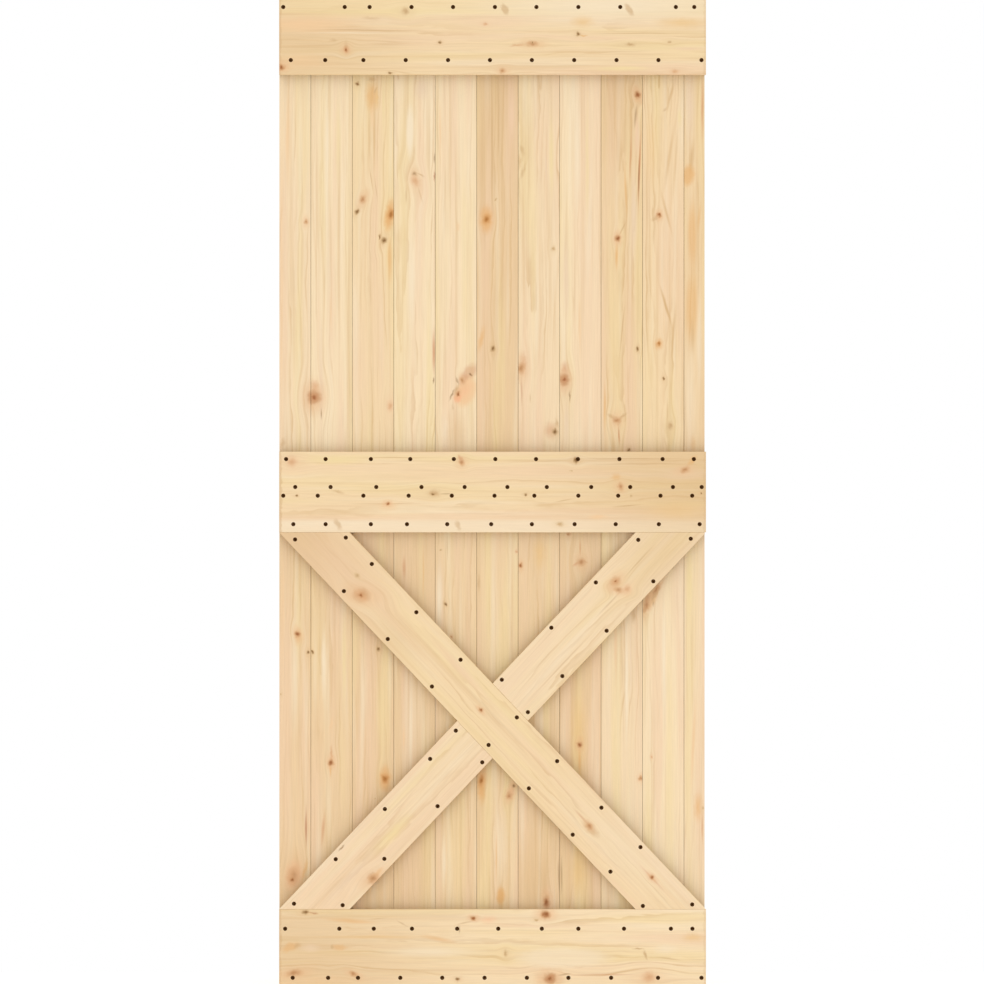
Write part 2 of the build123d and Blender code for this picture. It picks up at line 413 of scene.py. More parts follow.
@dataclass
class GrainNodes:
    """The node groups that every piece of pine shares.

    All of them read a place in the wood in millimetres: X along the grain, Y through the face and Z across
    the grain.
    """

    figure: bpy.types.NodeTree = field(init=False)
    stain: bpy.types.NodeTree = field(init=False)
    knot: bpy.types.NodeTree = field(init=False)
    swerve: bpy.types.NodeTree = field(init=False)

    SPOT = {"Grain": "Vector", "Place": "Vector", "Turn": "Vector", "Size": "Vector"}
    LAYER = {"Overlay": "Color", "Cover": "Float"}

    # How large the parts of a knot are against the knot, along, through and across the grain.
    GLOW = (3.6, 1.0, 2.4)
    RIM = (1.35, 1.0, 1.35)
    INSIDE = (0.85, 1.0, 0.85)
    HEART = 0.8
    SMALLER_HEART = -0.4
    PALER_INSIDE = 0.7
    RIM_BLUR = 0.8

    # How far the rings wander and ripple.
    WANDER = 40.0
    RIPPLE = 9.0

    # When in the year the ring darkens and pales, how its darkness varies from year to year and fades
    # along the grain: each from where to where, and between which shares.
    DARKENING = (0.3, 0.88)
    PALING = (1.0, 0.9)
    VARIETY = (0.2, 1.0, 0.1, 1.0)
    FADING = (0.35, 0.65, 0.1, 1.0)

    # Patches in which something changes, each by its length along the grain and its width across it.
    WANDER_PATCH = (420, 70)
    RIPPLE_PATCH = (80, 14)
    DARK_PATCH = (240, 24)
    HUE_PATCH = (650, 34)
    MILKY_PATCH = (420, 19)
    DARK_STREAK = (460, 9)
    FIBRE = (60, 1.7)
    FIBRE_SHADE = (0.983, 1.014)

    def __post_init__(self) -> None:
        """Builds the groups."""
        self.stain = self.build_stain()
        self.knot = self.build_knot()
        self.swerve = self.build_swerve()
        self.figure = self.build_figure()

    def reach(self, tree: Tree, given: dict) -> bpy.types.NodeSocket:
        """Measures how far out a place is from a spot.

        Args:
            tree: The group's tree.
            given: The group's inputs, with the place and the spot among them.

        Returns:
            The distance, 0 at the spot's middle and 1 at its edge.
        """
        inputs = {"Vector": given["Grain"], "Location": given["Place"], "Rotation": given["Turn"]}
        local = tree.add("ShaderNodeMapping", {**inputs, "Scale": given["Size"]}, vector_type="TEXTURE")
        return tree.vector("LENGTH", local.outputs[0])

    def build_stain(self) -> bpy.types.NodeTree:
        """Builds an oval patch of colour that is laid over the layer below it.

        Returns:
            The node group.
        """
        own = {"Tint": "Color", "Strength": "Float", "Blur": "Float"}
        tree, given, result = start_group("stain", {**self.SPOT, **own, **self.LAYER}, self.LAYER)
        full = tree.math("SUBTRACT", 1.0, given["Blur"])
        share = tree.math("MULTIPLY", tree.ramp(self.reach(tree, given), 1.0, full), given["Strength"])
        tree.feed(result.inputs["Overlay"], tree.blend(share, given["Overlay"], given["Tint"]))
        bare = tree.math("SUBTRACT", 1.0, given["Cover"])
        tree.feed(result.inputs["Cover"], tree.math("MULTIPLY_ADD", share, bare, given["Cover"]))
        return tree.tree

    def build_knot(self) -> bpy.types.NodeTree:
        """Builds a knot of ovals: the glow around it, its rim, its paler inside, and its darker heart.

        Returns:
            The node group.
        """
        own = dict.fromkeys(("Glow", "Rim", "Heart"), "Color")
        own |= dict.fromkeys(("Strength", "Halo", "Ring"), "Float")
        tree, given, result = start_group("knot", {**self.SPOT, **own, **self.LAYER}, self.LAYER)
        heart_size = tree.math("MULTIPLY_ADD", given["Ring"], self.SMALLER_HEART, self.HEART)
        heart = tree.scale((1.0, 1.0, 1.0), heart_size)
        paler = tree.math("MULTIPLY", given["Ring"], self.PALER_INSIDE)
        parts = (
            ("Glow", self.GLOW, 1.0, given["Halo"]),
            ("Rim", self.RIM, self.RIM_BLUR, given["Strength"]),
            ("Glow", self.INSIDE, self.RIM_BLUR, paler),
            ("Heart", heart, 1.0, given["Strength"]),
        )
        spot = {label: given[label] for label in ("Grain", "Place", "Turn")}
        layer = {label: given[label] for label in self.LAYER}
        for label, growth, blur, strength in parts:
            size = tree.vector("MULTIPLY", given["Size"], growth)
            inputs = {"Size": size, "Tint": given[label], "Strength": strength, "Blur": blur}
            node = tree.group(self.stain, {**spot, **inputs, **layer})
            layer = {label: node.outputs[label] for label in self.LAYER}
        for label, value in layer.items():
            tree.feed(result.inputs[label], value)
        return tree.tree

    def build_swerve(self) -> bpy.types.NodeTree:
        """Builds the way in which the grain parts around a knot, as water does around a stone.

        Returns:
            The node group.
        """
        tree, given, result = start_group("swerve", {**self.SPOT, "Bend": "Float"}, {"Grain": "Vector"})
        near = tree.ramp(self.reach(tree, given), 1.0, 0.0, 0.0, given["Bend"])
        beside = tree.vector("SUBTRACT", given["Grain"], given["Place"])
        across = tree.vector("MULTIPLY", beside, (0.0, 0.0, 1.0))
        drawn = tree.vector("SUBTRACT", given["Grain"], tree.scale(across, near))
        tree.feed(result.inputs["Grain"], drawn)
        return tree.tree

    def build_figure(self) -> bpy.types.NodeTree:
        """Builds the rings and the streaks of colour between them.

        Returns:
            The node group.
        """
        inputs = dict.fromkeys(("Grain", "Seed", "Pith"), "Vector")
        inputs |= dict.fromkeys(("Lean", "Spacing", "Contrast", "Hue"), "Float") | {"Tone": "Color"}
        outputs = {"Colour": "Color", "Height": "Float", "Fibre": "Float"}
        tree, given, result = start_group("figure", inputs, outputs)
        seeded = tree.vector("ADD", given["Grain"], given["Seed"])
        dark = self.rings(tree, given, seeded)
        fading = tree.ramp(self.patches(tree, seeded, self.DARK_PATCH), *self.FADING)
        colour = tree.blend(tree.math("MULTIPLY", dark, fading), given["Tone"], Tint.LATEWOOD.value)
        hues = self.patches(tree, seeded, self.HUE_PATCH)
        milky = self.patches(tree, seeded, self.MILKY_PATCH)
        streaks = self.patches(tree, seeded, self.DARK_STREAK, 2.0)
        # Each layer's colour, its noise, where in the noise it starts and is full, and its cover.
        layers = (
            (Tint.ROSE, hues, 0.5, 0.7, 0.5),
            (Tint.LEMON, hues, 0.5, 0.3, 0.5),
            (Tint.MILK, milky, 0.5, 0.78, 0.5),
            (Tint.LATEWOOD, streaks, 0.48, 0.8, 0.4),
        )
        for tint, amount, start, end, cover in layers:
            share = tree.math("MULTIPLY", tree.ramp(amount, start, end, 0.0, cover), given["Hue"])
            colour = tree.blend(share, colour, tint.value)
        fibre = self.patches(tree, seeded, self.FIBRE, 3.0)
        colour = tree.scale(colour, tree.ramp(fibre, *FIBRE_RANGE, *self.FIBRE_SHADE))
        tree.feed(result.inputs["Colour"], colour)
        tree.feed(result.inputs["Height"], tree.math("MULTIPLY_ADD", fibre, 0.5, dark))
        tree.feed(result.inputs["Fibre"], fibre)
        return tree.tree

    def rings(self, tree: Tree, given: dict, seeded: bpy.types.NodeSocket) -> bpy.types.NodeSocket:
        """Adds the dark parts of the year's rings.

        Args:
            tree: The group's tree.
            given: The group's inputs, with the pith's place and the rings' spacing among them.
            seeded: The place in the wood, moved by the piece's seed.

        Returns:
            How dark the wood is, from 0 to 1.
        """
        place = tree.vector("SUBTRACT", given["Grain"], given["Pith"])
        apart = tree.add("ShaderNodeSeparateXYZ", {0: place}).outputs
        wander = self.patches(tree, seeded, self.WANDER_PATCH)
        wander = tree.math("MULTIPLY_ADD", wander, self.WANDER, -self.WANDER / 2)
        shift = tree.math("MULTIPLY", apart["X"], given["Lean"])
        across = tree.math("POWER", tree.math("ADD", apart["Z"], wander), 2.0)
        deep = tree.math("POWER", tree.math("ADD", apart["Y"], shift), 2.0)
        radius = tree.math("SQRT", tree.math("ADD", across, deep))
        ripple = self.patches(tree, seeded, self.RIPPLE_PATCH, 2.0)
        ripple = tree.math("MULTIPLY", ripple, self.RIPPLE)
        years = tree.math("DIVIDE", tree.math("ADD", radius, ripple), given["Spacing"])
        season = tree.math("FRACT", years)
        late = tree.math("MULTIPLY", tree.ramp(season, *self.DARKENING), tree.ramp(season, *self.PALING))
        year = tree.add("ShaderNodeTexWhiteNoise", {"W": tree.math("FLOOR", years)}, noise_dimensions="1D")
        vary = tree.ramp(year.outputs["Value"], *self.VARIETY)
        return tree.math("MULTIPLY", tree.math("MULTIPLY", late, vary), given["Contrast"])

    def patches(
        self, tree: Tree, place: bpy.types.NodeSocket, size: tuple[float, float], detail: float = 1.0
    ) -> bpy.types.NodeSocket:
        """Adds noise in long patches.

        Args:
            tree: The group's tree.
            place: The place in the wood.
            size: The patches' length along the grain and width across it.
            detail: How many finer noises lie on it.

        Returns:
            The noise, from 0 to 1.
        """
        along, across = size
        cells = (1 / along, 1 / across, 1 / across)
        return tree.noise(tree.vector("MULTIPLY", place, cells), detail)


@dataclass
class PineStock:
    """Pine for pieces whose grain runs one way.

    Attributes:
        nodes: The shared node groups.
        slope: Degrees by which the grain climbs from the leaf's X axis.
        left: X of the leaf's left edge, in millimetres.
        recessed: Whether other pieces stand proud of these, so that shade is painted into their colour.
    """

    nodes: GrainNodes
    slope: float
    left: float
    recessed: bool

    DEEP = 1.0e5
    PARTED = (6.0, 3.6)
    BEND = 0.8
    RAGGED_CELLS = (10.0, 10.0, 10.0)
    RAGGED_SHIFT = (11.0, 0.0, 8.0)
    FLOWING_CELLS = (90.0, 20.0, 20.0)
    FLOWING_SHIFT = (11.0, 0.0, 5.0)
    WOBBLE_DETAIL = 4.0
    LONG = 6.0
    SEED_STEP = (731.0, 57.0, 193.0)
    FIBRE_SHADE = (0.975, 1.02)
    ROUGHNESS = 0.5
    RELIEF = 0.35
    RELIEF_DEPTH = 0.2 * MILLIMETRE
    # How far the painted shade reaches, how dark it gets, and how many rays measure it.
    PAINTED_SHADE_REACH = 0.12
    PAINTED_SHADE_STRENGTH = 0.36
    PAINTED_SHADE_SAMPLES = 6

    def along(self, x: float, z: float) -> tuple[float, float]:
        """Turns a place on the face into distances along and across the grain.

        Args:
            x: Distance from the leaf's left edge.
            z: Height above its base.

        Returns:
            The distances along and across the grain.
        """
        angle = math.radians(self.slope)
        right = x + self.left
        return (
            right * math.cos(angle) + z * math.sin(angle),
            z * math.cos(angle) - right * math.sin(angle),
        )

    def spot(self, mark: Knot | Stain, grown: tuple[float, float] = (1.0, 1.0)) -> dict[str, object]:
        """Gives the inputs that place a knot or a stain in the wood.

        Args:
            mark: The knot or stain.
            grown: How many times its own size it is given, along and across the grain.

        Returns:
            The inputs, by name.
        """
        run, side = self.along(mark.x, mark.z)
        return {
            "Place": (run, 0.0, side),
            "Turn": (0.0, math.radians(mark.turn), 0.0),
            "Size": (mark.length / 2 * grown[0], self.DEEP, mark.width / 2 * grown[1]),
        }

    def cut(
        self, name: str, finish: PineFinish, seed: int, middle: tuple[float, float]
    ) -> bpy.types.Material:
        """Makes the wood of one piece.

        Args:
            name: The piece's name.
            finish: What its wood looks like.
            seed: A number of its own, so that no two pieces have the same grain.
            middle: The middle of its face, in millimetres from the left edge and above the base.

        Returns:
            The material.
        """
        material, tree = start_material(f"pine_{name}")
        where = tree.add("ShaderNodeTexCoord").outputs["Object"]
        turn = (0.0, math.radians(self.slope), 0.0)
        inputs = {"Vector": where, "Rotation": turn, "Scale": (1 / MILLIMETRE,) * 3}
        grain = tree.add("ShaderNodeMapping", inputs).outputs[0]

        bent = grain
        for knot in (mark for mark in finish.marks if isinstance(mark, Knot)):
            inputs = {**self.spot(knot, self.PARTED), "Grain": bent, "Bend": self.BEND}
            bent = tree.group(self.nodes.swerve, inputs).outputs["Grain"]

        cut = finish.figure
        run, side = self.along(*middle)
        inputs = {
            "Grain": bent,
            "Seed": tuple(seed * step for step in self.SEED_STEP),
            "Pith": (run, cut.depth, side + cut.aside),
            "Lean": cut.lean,
            "Spacing": cut.spacing,
            "Contrast": cut.contrast,
            "Hue": cut.hue,
            "Tone": finish.tone.value,
        }
        figure = tree.group(self.nodes.figure, inputs).outputs
        colour = figure["Colour"]
        if finish.marks:
            overlay, cover = self.lay(tree, grain, finish.marks)
            bare = tree.scale(colour, tree.math("SUBTRACT", 1.0, cover))
            fine = tree.ramp(figure["Fibre"], *FIBRE_RANGE, *self.FIBRE_SHADE)
            colour = tree.scale(tree.vector("ADD", bare, overlay), fine)
        # Painted shade: boards that the rails and braces stand proud of are darkened in their colour.
        if self.recessed:
            colour = self.shade(tree, colour)
        inputs = {"Base Color": colour, "Roughness": self.ROUGHNESS}
        tree.surface(figure["Height"], self.RELIEF, self.RELIEF_DEPTH, inputs)
        return material

    def lay(self, tree: Tree, grain: bpy.types.NodeSocket, marks: Iterable[Mark]) -> Iterable[object]:
        """Lays stains and knots over each other.

        Args:
            tree: The material's tree.
            grain: Places in the wood.
            marks: The stains and knots, from the lowest to the topmost.

        Returns:
            Their colour, and how far they cover the wood.
        """
        ragged = self.ruffle(tree, grain, self.RAGGED_CELLS, self.RAGGED_SHIFT)
        flowing = self.ruffle(tree, grain, self.FLOWING_CELLS, self.FLOWING_SHIFT)
        layer = {"Overlay": (0.0, 0.0, 0.0, 1.0), "Cover": 0.0}
        for mark in marks:
            outline = flowing if mark.length > self.LONG * mark.width else ragged
            inputs = {**self.spot(mark), "Grain": outline, **layer}
            if isinstance(mark, Stain):
                own = {"Tint": mark.kind.value, "Strength": mark.cover, "Blur": mark.blur}
                node = tree.group(self.nodes.stain, inputs | own)
            else:
                look = mark.kind.value
                own = {"Heart": look.heart, "Rim": look.rim, "Glow": look.glow}
                own |= {"Strength": look.cover, "Halo": look.halo, "Ring": look.ring}
                node = tree.group(self.nodes.knot, inputs | own)
            layer = {label: node.outputs[label] for label in layer}
        return layer.values()

    def ruffle(
        self, tree: Tree, grain: bpy.types.NodeSocket, cells: Triple, shift: Triple
    ) -> bpy.types.NodeSocket:
        """Moves places in the wood a little from side to side, so that outlines come out uneven.

        Args:
            tree: The material's tree.
            grain: The places.
            cells: How long the stretches are that move together, along, through and across the grain.
            shift: How far the places may move in each direction.

        Returns:
            The moved places.
        """
        cell = tree.vector("DIVIDE", grain, cells)
        inputs = {"Vector": cell, "Scale": 1.0, "Detail": self.WOBBLE_DETAIL}
        wobble = tree.add("ShaderNodeTexNoise", inputs).outputs["Color"]
        back = tuple(-part / 2 for part in shift)
        return tree.vector("ADD", grain, tree.vector("MULTIPLY_ADD", wobble, shift, back))

    def shade(self, tree: Tree, colour: bpy.types.NodeSocket) -> bpy.types.NodeSocket:
        """Paints shade into the wood's colour where other pieces stand close in front of it.

        Args:
            tree: The material's tree.
            colour: The wood's colour.

        Returns:
            The colour with the painted shade.
        """
        # Painted shade: an ambient occlusion node darkens the base colour beside nearby pieces.
        inputs = {"Distance": self.PAINTED_SHADE_REACH}
        nook = tree.add("ShaderNodeAmbientOcclusion", inputs, samples=self.PAINTED_SHADE_SAMPLES)
        closed = tree.math("DIVIDE", tree.math("SUBTRACT", nook.outputs["AO"], 1.0), self.PAINTED_SHADE_STRENGTH)
        dim = tree.math("MULTIPLY_ADD", tree.math("EXPONENT", closed), -self.PAINTED_SHADE_STRENGTH, self.PAINTED_SHADE_STRENGTH)
        return tree.blend(dim, colour, Tint.SHADE.value, "MULTIPLY")


@dataclass
class WoodenPieces:
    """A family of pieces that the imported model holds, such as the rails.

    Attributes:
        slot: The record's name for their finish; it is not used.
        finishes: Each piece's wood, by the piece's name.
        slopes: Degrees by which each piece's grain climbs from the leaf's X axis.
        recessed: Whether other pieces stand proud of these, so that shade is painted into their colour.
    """

    slot: str
    finishes: dict[str, PineFinish]
    slopes: dict[str, float]
    recessed: bool = False

    def dress(self, frame: dict, nodes: GrainNodes, left: float, seed: int) -> list[str]:
        """Gives each piece its wood.

        Args:
            frame: The loaded frame.
            nodes: The shared node groups.
            left: X of the leaf's left edge, in millimetres.
            seed: The number of the first piece, which the others count on from.

        Returns:
            The names of the pieces.
        """
        for number, (name, finish) in enumerate(self.finishes.items(), start=seed):
            low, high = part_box(name)
            middle = (low + high) / 2 / MILLIMETRE
            stock = PineStock(nodes, self.slopes[name], left, self.recessed)
            material = stock.cut(name, finish, number, (middle.x - left, middle.z))
            piece = frame["nodes"][name]
            if not piece.material_slots:
                piece.data.materials.append(material)
            for slot in piece.material_slots:
                slot.material = material
        return list(self.finishes)


def boards(half: str, finishes: Iterable[PineFinish]) -> dict[str, PineFinish]:
    """Names the boards of one half from left to right."""
    return {f"{half}_board_{number:02d}": finish for number, finish in enumerate(finishes, start=1)}


STRAIGHT = Figure(depth=60.0, aside=85.0)
QUARTERED = Figure(depth=15.0, aside=120.0, spacing=6.0, contrast=0.35)
CATHEDRAL = Figure(depth=38.0, aside=6.0, lean=0.022, spacing=5.0, contrast=0.9)
WAVY = Figure(depth=42.0, aside=26.0, lean=0.02, spacing=5.5, contrast=0.8)
BRACE_CUT = Figure(depth=55.0, aside=-30.0, lean=0.012, spacing=5.0, contrast=0.4, hue=0.8)

SEAM_KNOT = KnotLook.SOUND.at((73, 1250, 30, 30))
SEAM_FLAME = Tint.RUST.at((75, 1273, 36, 24))
SEAM_STREAKS = (
    *Tint.RUST.at((326, 1347, 130, 10, 0.75)),
    *Tint.UMBER.at((326, 1286, 24, 5, 0.8), (327, 1755, 34, 5, 0.6)),
    *Tint.BRICK.at((327, 1716, 30, 6, 0.6)),
)
RAIL_ENDS = Tint.TAN.at((899, 1050, 12, 4500, 0.25, 0, 0.6), (1, 1050, 12, 4500, 0.45, 0, 0.6))

UPPER_BOARDS = (
    pine(
        Tone.PALE, STRAIGHT,
        Tint.APRICOT.at((18, 1800, 280, 15, 0.7)),
        Tint.MILK.at((44, 1760, 420, 18, 0.4)),
        Tint.APRICOT.at((5, 1500, 900, 8, 0.45)),
        SEAM_FLAME,
        Tint.TAN.at((7, 1153, 34, 14, 0.5, 20)),
        KnotLook.TAWNY.at((56, 1620, 12, 10)),
        SEAM_KNOT,
    ),
    pine(
        Tone.CREAM, QUARTERED,
        Tint.MILK.at((102, 1800, 200, 12, 0.6)),
        Tint.LEMON.at((124, 1790, 280, 18)),
        SEAM_FLAME,
        Tint.LILAC.at((88, 1280, 360, 14, 0.55)),
        Tint.APRICOT.at((109, 1430, 150, 8)),
        Tint.UMBER.at((88, 1216, 34, 5, 0.7)),
        SEAM_KNOT,
    ),
    pine(
        Tone.STRAW, STRAIGHT,
        Tint.FLAME.at((195, 1884, 90, 38, 0.6, 0, 0.8)),
        Tint.AMBER.at((206, 1884, 70, 12, 0.6)),
        Tint.LATEWOOD.at((189, 1796, 220, 9), (200, 1804, 230, 9, 0.6)),
        Tint.APRICOT.at((196, 1840, 90, 14, 0.6)),
        Tint.TAN.at(
            (195, 1921, 16, 26, 0.6), (203, 1898, 26, 8, 0.5, 30), (194, 1710, 80, 4, 0.6, -8),
            (204, 1690, 80, 4, 0.5, -6),
        ),
        Tint.LEMON.at((220, 1870, 160, 8)),
        Tint.FLAME.at((231, 1632, 100, 26, 0.9, 8), (233, 1540, 140, 18, 0.6)),
        Tint.ROSE.at((170, 1300, 400, 60, 0.35)),
        KnotLook.PIN.at((164, 1912, 10, 8)),
        KnotLook.TAWNY.at((176, 1667, 20, 14, 25)),
        KnotLook.PIN.at((164, 1642, 13, 9, 25)),
        KnotLook.FLAMED.at((236, 1636, 24, 16, 8)),
        KnotLook.PIN.at((212, 1588, 11, 5), (221, 1581, 16, 11, 25)),
        KnotLook.ROSY.at((234, 1231, 24, 16)),
    ),
    pine(
        Tone.CREAM, WAVY,
        Tint.LILAC.at((300, 1902, 70, 44, 0.7)),
        Tint.MILK.at((276, 1812, 150, 22, 0.9, 0, 0.7)),
        Tint.TAN.at((268, 1676, 54, 6), (298, 1720, 30, 6, 0.7, 120), (297, 1680, 60, 5, 0.45, -15)),
        Tint.MILK.at((279, 1500, 320, 28, 0.7)),
        SEAM_STREAKS,
        KnotLook.PIN.at((285, 1722, 13, 12)),
        KnotLook.ROSY.at((287, 1706, 28, 22, -20)),
    ),
    pine(
        Tone.CREAM, QUARTERED,
        Tint.APRICOT.at(
            (339, 1810, 190, 8, 0.75), (377, 1610, 26, 14, 0.6), (394, 1262, 86, 52, 1, 20, 0.5),
        ),
        Tint.CORAL.at((390, 1264, 70, 44, 0.35, 25)),
        Tint.RUST.at((402, 1304, 56, 36, 0.45, 48, 0.7), (387, 1288, 36, 24, 0.45, 35, 0.7)),
        Tint.CORAL.at((376, 1249, 32, 24, 0.8, 30, 0.8)),
        Tint.TAN.at((374, 1266, 34, 14, 0.7, 22)),
        Tint.UMBER.at(
            (375, 1286, 28, 7, 0.5, -16), (364, 1255, 36, 6, 0.7, 25), (404, 1298, 14, 6, 0.95, -32),
        ),
        Tint.TAN.at((366, 1230, 26, 8, 0.4)),
        Tint.LATEWOOD.at((374, 1175, 160, 60, 0.4)),
        Tint.MILK.at((349, 1180, 130, 22)),
        SEAM_STREAKS,
        KnotLook.TAWNY.at((386, 1286, 14, 9, -20)),
        KnotLook.RED.at((377, 1257, 10, 8, 30)),
    ),
    pine(
        Tone.TOAST, STRAIGHT,
        Tint.LATEWOOD.at((458, 1895, 420, 130, 0.3)),
        Tint.FLAME.at((437, 1625, 84, 34, 0.6), (426, 1372, 80, 18, 0.6, 12)),
        Tint.ROSE.at((490, 1850, 200, 22, 0.8)),
        Tint.TAN.at((449, 1760, 400, 6), (462, 1830, 260, 6, 0.4)),
        Tint.LATEWOOD.at((427, 1750, 460, 22, 0.35), (470, 1480, 460, 12, 0.3)),
        KnotLook.FLAMED.at((437, 1626, 22, 18)),
        KnotLook.FAINT.at((457, 1668, 9, 5)),
        KnotLook.PIN.at((451, 1353, 13, 11)),
    ),
    pine(
        Tone.PALE, WAVY,
        Tint.ROSE.at((548, 1790, 300, 50, 0.35)),
        Tint.TAN.at((512, 1772, 38, 14, 0.45, -25), (514, 1726, 48, 13, 0.5, 20)),
        Tint.LATEWOOD.at((507, 1748, 60, 10, 0.6)),
        Tint.LILAC.at((563, 1735, 110, 6, 0.8)),
        Tint.LEMON.at((574, 1760, 240, 14, 0.7)),
        Tint.RUST.at((515, 1320, 66, 22)),
        Tint.BRICK.at((511, 1265, 90, 6, 0.35)),
        Tint.TAN.at((529, 1248, 30, 4, 0.6)),
        Tint.RUST.at((572, 1180, 50, 40, 0.45)),
        Tint.TAN.at((585, 1196, 30, 12, 0.6)),
        KnotLook.FAINT.at((578, 1564, 12, 11)),
        KnotLook.TAWNY.at((510, 1311, 26, 18)),
        KnotLook.PIN.at((582, 1177, 14, 13)),
    ),
    pine(
        Tone.CREAM, QUARTERED,
        Tint.LATEWOOD.at((600, 1245, 360, 80, 0.24)),
        Tint.MILK.at((628, 1770, 380, 22, 0.6)),
        Tint.LEMON.at((650, 1750, 420, 12)),
        Tint.LILAC.at((606, 1500, 260, 20, 0.7), (606, 1190, 130, 18, 0.7)),
        Tint.APRICOT.at((634, 1400, 200, 8, 0.6)),
        Tint.RUST.at((603, 1311, 40, 22)),
        Tint.UMBER.at((613, 1252, 34, 6, 0.7)),
        KnotLook.SOUND.at((601, 1287, 25, 22)),
    ),
    pine(
        Tone.HONEY, CATHEDRAL,
        Tint.LATEWOOD.at((712, 1895, 460, 150, 0.34)),
        Tint.LILAC.at((748, 1640, 320, 22, 0.8)),
        Tint.UMBER.at((752, 1842, 66, 8, 0.6, 6)),
        Tint.ROSE.at((755, 1800, 130, 18, 0.8)),
        Tint.RUST.at((741, 1755, 150, 7, 0.55, 2), (760, 1730, 250, 7, 0.9, 2)),
        Tint.UMBER.at((759, 1710, 130, 4, 0.6, 1)),
        Tint.FLAME.at((731, 1690, 170, 8, 0.5, -3)),
        Tint.TAN.at((724, 1605, 50, 5, 0.6, 28)),
        Tint.FLAME.at((712, 1548, 80, 11, 0.7), (687, 1230, 140, 9, 0.6)),
        Tint.TAN.at(
            (702, 1209, 32, 10, 0.8, -60), (724, 1209, 36, 10, 0.8, 50), (724, 1390, 180, 5, 0.6, 6),
        ),
        Tint.RUST.at((717, 1170, 62, 5, 0.8, -3)),
        KnotLook.RED.at((756, 1888, 17, 14, -20), (714, 1585, 14, 13)),
        KnotLook.PIN.at((756, 1352, 9, 8), (738, 1139, 9, 9)),
        KnotLook.TAWNY.at((712, 1201, 18, 19)),
    ),
    pine(
        Tone.STRAW, CATHEDRAL,
        Tint.AMBER.at((785, 1780, 280, 34, 0.35)),
        Tint.TAN.at((794, 1629, 30, 12, 0.6, 55)),
        Tint.LATEWOOD.at((826, 1888, 90, 10, 0.6, 14)),
        Tint.TAN.at((814, 1857, 16, 10, 0.5, 50), (819, 1220, 70, 6, 0.45)),
        Tint.LATEWOOD.at(
            (823, 1758, 190, 11, 0.5, 9), (836, 1745, 210, 9, 0.4, 4), (817, 1640, 130, 9, 0.6, -14),
            (816, 1440, 140, 9, 0.9, -16), (832, 1380, 190, 9, 0.5, 4),
        ),
        Tint.LEMON.at((845, 1840, 60, 14, 0.6)),
        KnotLook.RED.at((802, 1635, 11, 11)),
        KnotLook.FLAMED.at((801, 1363, 10, 11)),
        KnotLook.PIN.at((811, 1290, 8, 7)),
        KnotLook.FAINT.at((825, 1190, 20, 16)),
    ),
    pine(
        Tone.HONEY, STRAIGHT,
        Tint.LILAC.at((868, 1870, 240, 30, 0.7)),
        Tint.RUST.at((893, 1862, 200, 10, 0.6)),
        Tint.LATEWOOD.at((870, 1752, 110, 13, 0.7, 6)),
        Tint.FLAME.at(
            (863, 1718, 62, 34, 0.65, 10, 0.6), (872, 1590, 190, 26, 0.55, 0, 0.7),
            (886, 1630, 90, 10, 0.4, 4), (871, 1436, 220, 36, 0.5, 1, 0.7),
        ),
        Tint.LATEWOOD.at((872, 1380, 110, 14, 0.6)),
        Tint.TAN.at((856, 1200, 240, 5)),
        Tint.FLAME.at((873, 1150, 60, 16, 0.4)),
        Tint.MILK.at((866, 1250, 360, 46, 0.45)),
    ),
)

